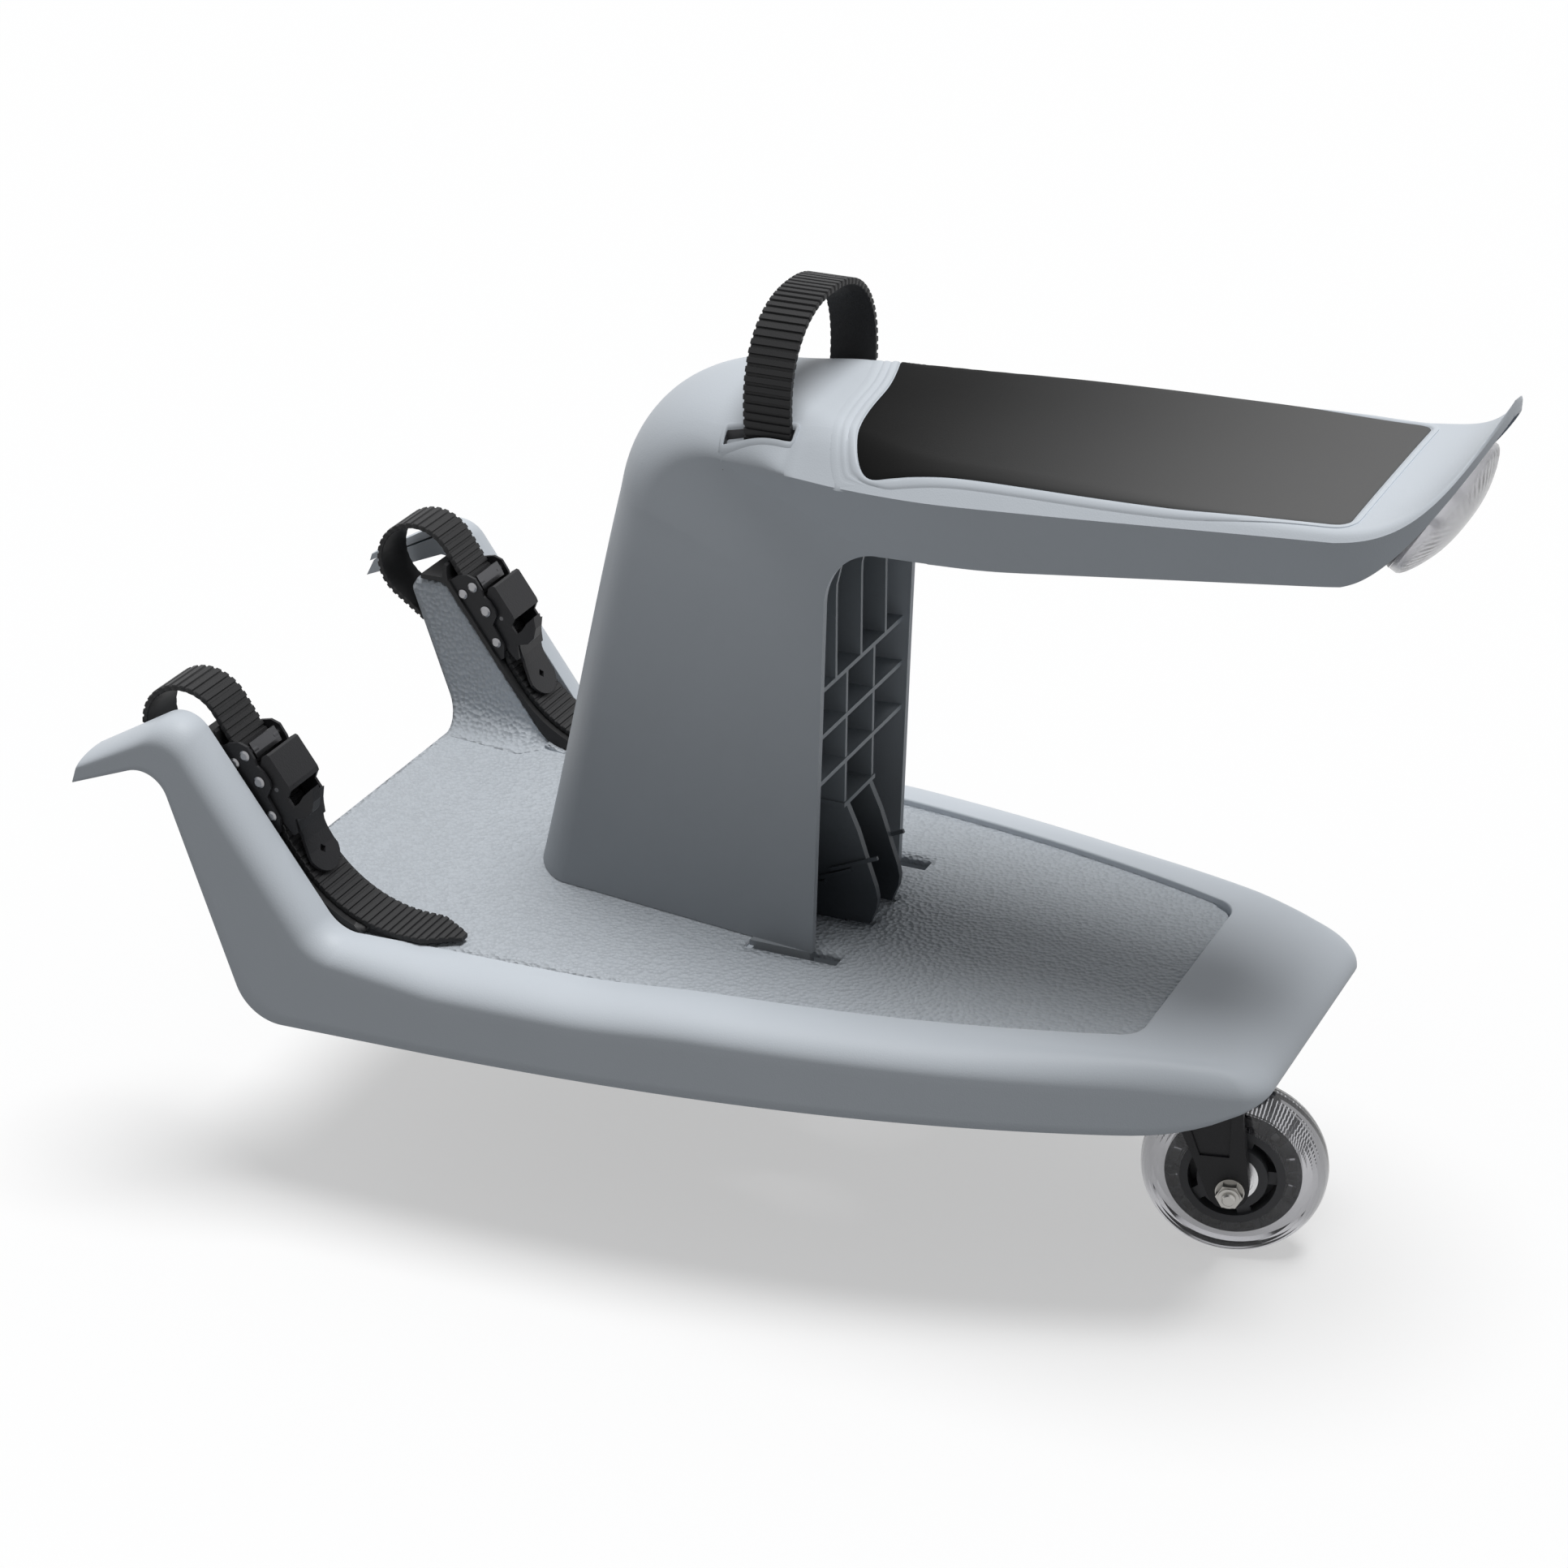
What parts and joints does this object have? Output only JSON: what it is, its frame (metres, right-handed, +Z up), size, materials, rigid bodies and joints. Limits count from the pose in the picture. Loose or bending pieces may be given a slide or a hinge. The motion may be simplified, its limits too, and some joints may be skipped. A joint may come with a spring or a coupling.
{
  "type": "buggy board",
  "caption": "Ride-on board with a lift-off seat, two hook arms with ratchet straps for a pushchair's axle, and a swivelling castor.",
  "frame": {"origin": "centre of the bounding box's base, on the floor under the castor wheel", "axes": "+X from the hooks towards the castor and the seat's tail, +Y towards the left arm, +Z up"},
  "size_m": [0.579, 0.268, 0.4048],
  "materials": {
    "shell_plastic": "fine satin",
    "strap_plastic": "moulded ladder",
    "liner_rubber": "smooth",
    "buckle_metal": "black coated",
    "pad_foam": "fine grain",
    "black_plastic": "satin",
    "white_plastic": "smooth",
    "clear_tyre": "clear cast",
    "clear_lens": "clear, faceted inside",
    "bright_steel": "bright"
  },
  "bodies": {
    "board": {"board_shell": "shell_plastic", "castor_socket": "black_plastic", "arm_liner_left": "liner_rubber", "axle_strap_left": "strap_plastic", "strap_bolt_left": "bright_steel", "buckle_base_left": "buckle_metal", "buckle_rivets_left": "bright_steel", "lever_pin_left": "bright_steel", "pawl_pin_left": "bright_steel", "arm_liner_right": "liner_rubber", "axle_strap_right": "strap_plastic", "strap_bolt_right": "bright_steel", "buckle_base_right": "buckle_metal", "buckle_rivets_right": "bright_steel", "lever_pin_right": "bright_steel", "pawl_pin_right": "bright_steel"},
    "castor": {"castor_fork": "black_plastic", "castor_stem": "bright_steel", "grip_ring": "bright_steel", "thrust_washer": "white_plastic", "wheel_axle": "bright_steel", "axle_nut": "bright_steel", "axle_washers": "bright_steel", "axle_spacer": "bright_steel", "bearing_inner_rings": "bright_steel"},
    "wheel": {"bearing_outer_rings": "bright_steel", "wheel_hub": "black_plastic", "wheel_tyre": "clear_tyre"},
    "seat": {"seat_shell": "shell_plastic", "seat_lattice": "shell_plastic", "seat_pad": "pad_foam", "grab_strap": "strap_plastic", "grab_strap_screws": "bright_steel", "reflector_base": "black_plastic", "reflector_lens": "clear_lens", "reflector_screws": "bright_steel"},
    "lever_left": {"ratchet_lever_left": "buckle_metal", "drive_pawl_left": "bright_steel"},
    "lever_right": {"ratchet_lever_right": "buckle_metal", "drive_pawl_right": "bright_steel"},
    "release_left": {"release_pawl_left": "buckle_metal"},
    "release_right": {"release_pawl_right": "buckle_metal"}
  },
  "joints": [
    {"name": "seat_slide", "type": "slide", "parent": "board", "child": "seat", "axis": [1, 0, 0], "range_m": [0, 0.0135]},
    {"name": "castor_swivel", "type": "hinge", "parent": "board", "child": "castor", "pos_m": [0.177, 0, 0.1], "axis": [0, 0, 1], "continuous": true},
    {"name": "wheel_spin", "type": "hinge", "parent": "castor", "child": "wheel", "pos_m": [0.19256, 0.00374, 0.04], "axis": [-0.2334, 0.9724, 0], "continuous": true},
    {"name": "lever_left_hinge", "type": "hinge", "parent": "board", "child": "lever_left", "pos_m": [-0.20792, 0.1005, 0.19229], "axis": [0, -1, 0], "range_deg": [0, 20]},
    {"name": "release_left_hinge", "type": "hinge", "parent": "board", "child": "release_left", "pos_m": [-0.21432, 0.1005, 0.20332], "axis": [0, -1, 0], "range_deg": [0, 12], "stiffness_Nm_per_rad": 0.02, "springref_deg": -17.19},
    {"name": "lever_right_hinge", "type": "hinge", "parent": "board", "child": "lever_right", "pos_m": [-0.20792, -0.1005, 0.19229], "axis": [0, -1, 0], "range_deg": [0, 20]},
    {"name": "release_right_hinge", "type": "hinge", "parent": "board", "child": "release_right", "pos_m": [-0.21432, -0.1005, 0.20332], "axis": [0, -1, 0], "range_deg": [0, 12], "stiffness_Nm_per_rad": 0.02, "springref_deg": -17.19}
  ]
}
